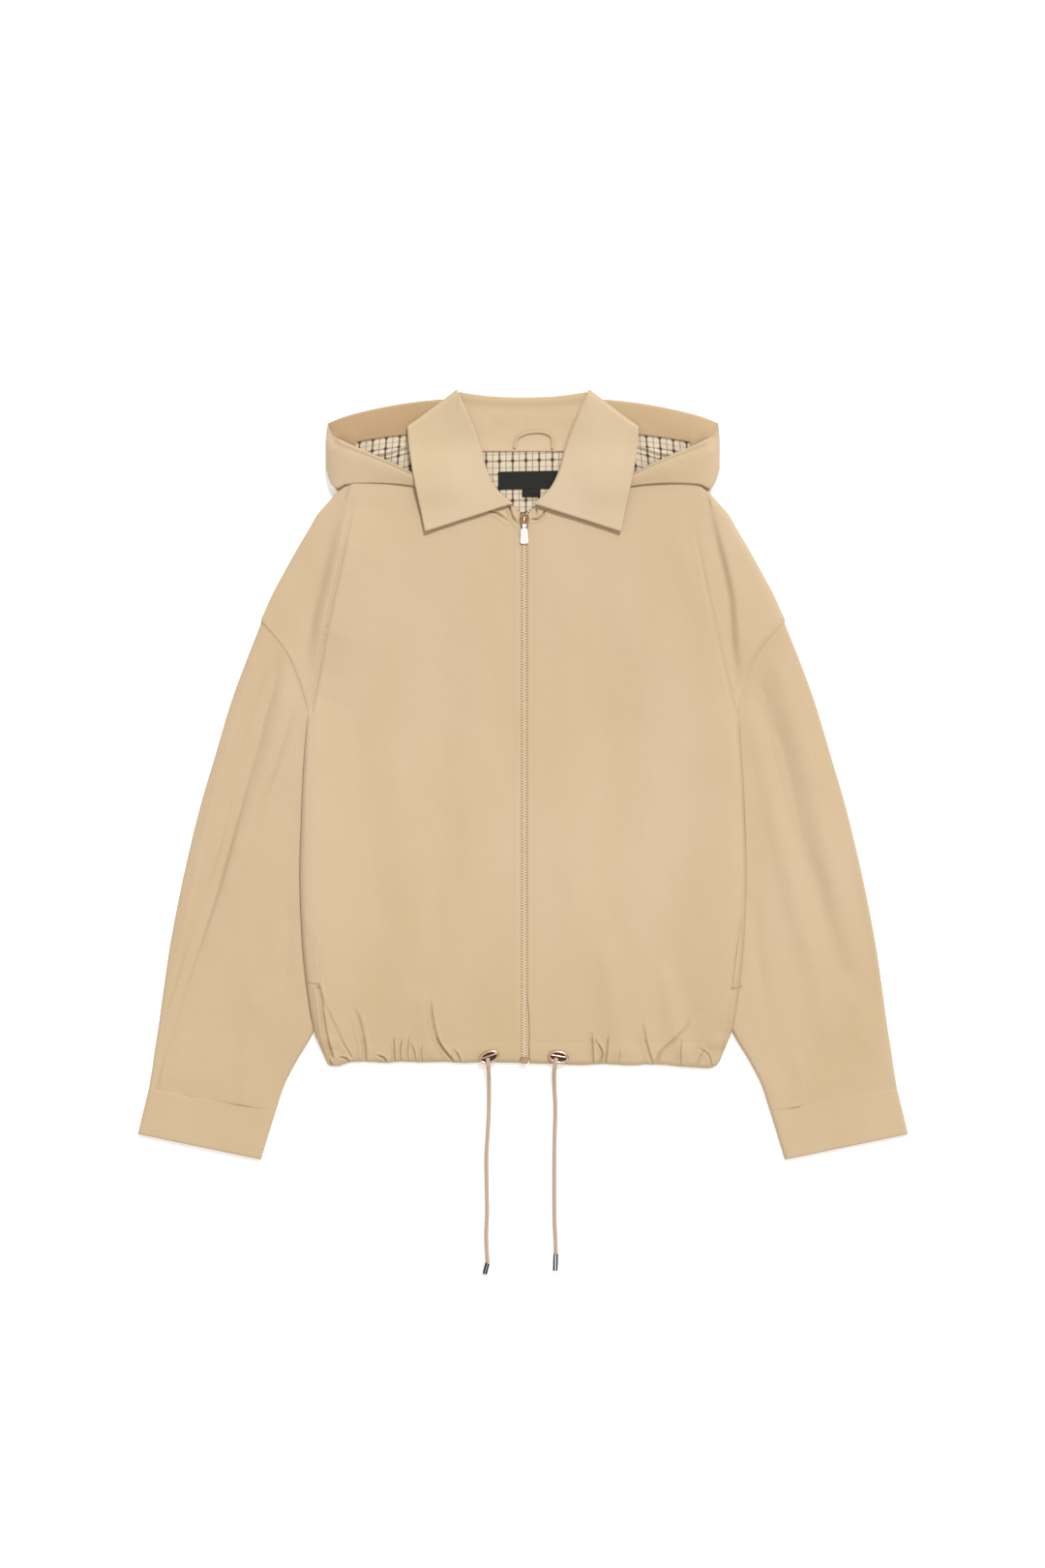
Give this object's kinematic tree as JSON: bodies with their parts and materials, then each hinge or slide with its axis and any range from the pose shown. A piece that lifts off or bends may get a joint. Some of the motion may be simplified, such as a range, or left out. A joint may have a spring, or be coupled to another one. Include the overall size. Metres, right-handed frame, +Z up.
{
  "type": "hooded jacket",
  "caption": "Hooded jacket in cotton twill with a turned-down collar, a closed front zip, side pockets and a drawcord hem, laid flat with its arms down.",
  "frame": {"origin": "middle of the jacket's outline without its cords, on the surface it lies on", "axes": "+X to the wearer's left, +Y from the hem to the hood, +Z up from the surface"},
  "size_m": [0.74, 0.8481, 0.0275],
  "materials": {
    "twill": "matt cotton twill in pale sand",
    "twill_under": "the same twill, in the shade of the hood",
    "check": "cream lining with a dark window check",
    "label": "near-black woven tape, bare",
    "tape": "woven zip tape",
    "gold": "pale rose-gold plating",
    "cord": "round braided cotton cord"
  },
  "bodies": {
    "jacket": {"front_left": "twill", "front_right": "twill", "hem_casing_left": "twill", "hem_casing_right": "twill", "pocket_welt_left": "twill", "pocket_welt_right": "twill", "sleeve_left": "twill", "sleeve_right": "twill", "cuff_left": "twill", "cuff_right": "twill", "hood_facing": "twill", "hood_band_left": "twill", "hood_band_right": "twill", "collar_stand": "twill", "collar_fall_left": "twill", "collar_fall_right": "twill", "hanger_loop": "twill", "back_panel": "twill", "hood_layers": "twill_under", "hood_lining_left": "check", "hood_lining_right": "check", "neck_lining": "check", "neck_label": "label", "size_tab": "label", "zip_tape_left": "tape", "zip_tape_right": "tape", "zip_teeth_left": "gold", "zip_teeth_right": "gold", "zip_box": "gold", "zip_slider": "gold", "eyelet_left": "gold", "eyelet_right": "gold", "drawcord_left": "cord", "drawcord_right": "cord", "aglet_left": "gold", "aglet_right": "gold"},
    "pull_tab": {"pull_tab": "gold"}
  },
  "joints": [
    {"name": "pull_tab_hinge", "type": "hinge", "parent": "jacket", "child": "pull_tab", "pos_m": [0.0012, 0.2385, 0.0167], "axis": [-1, 0, 0], "range_deg": [0, 160]}
  ]
}
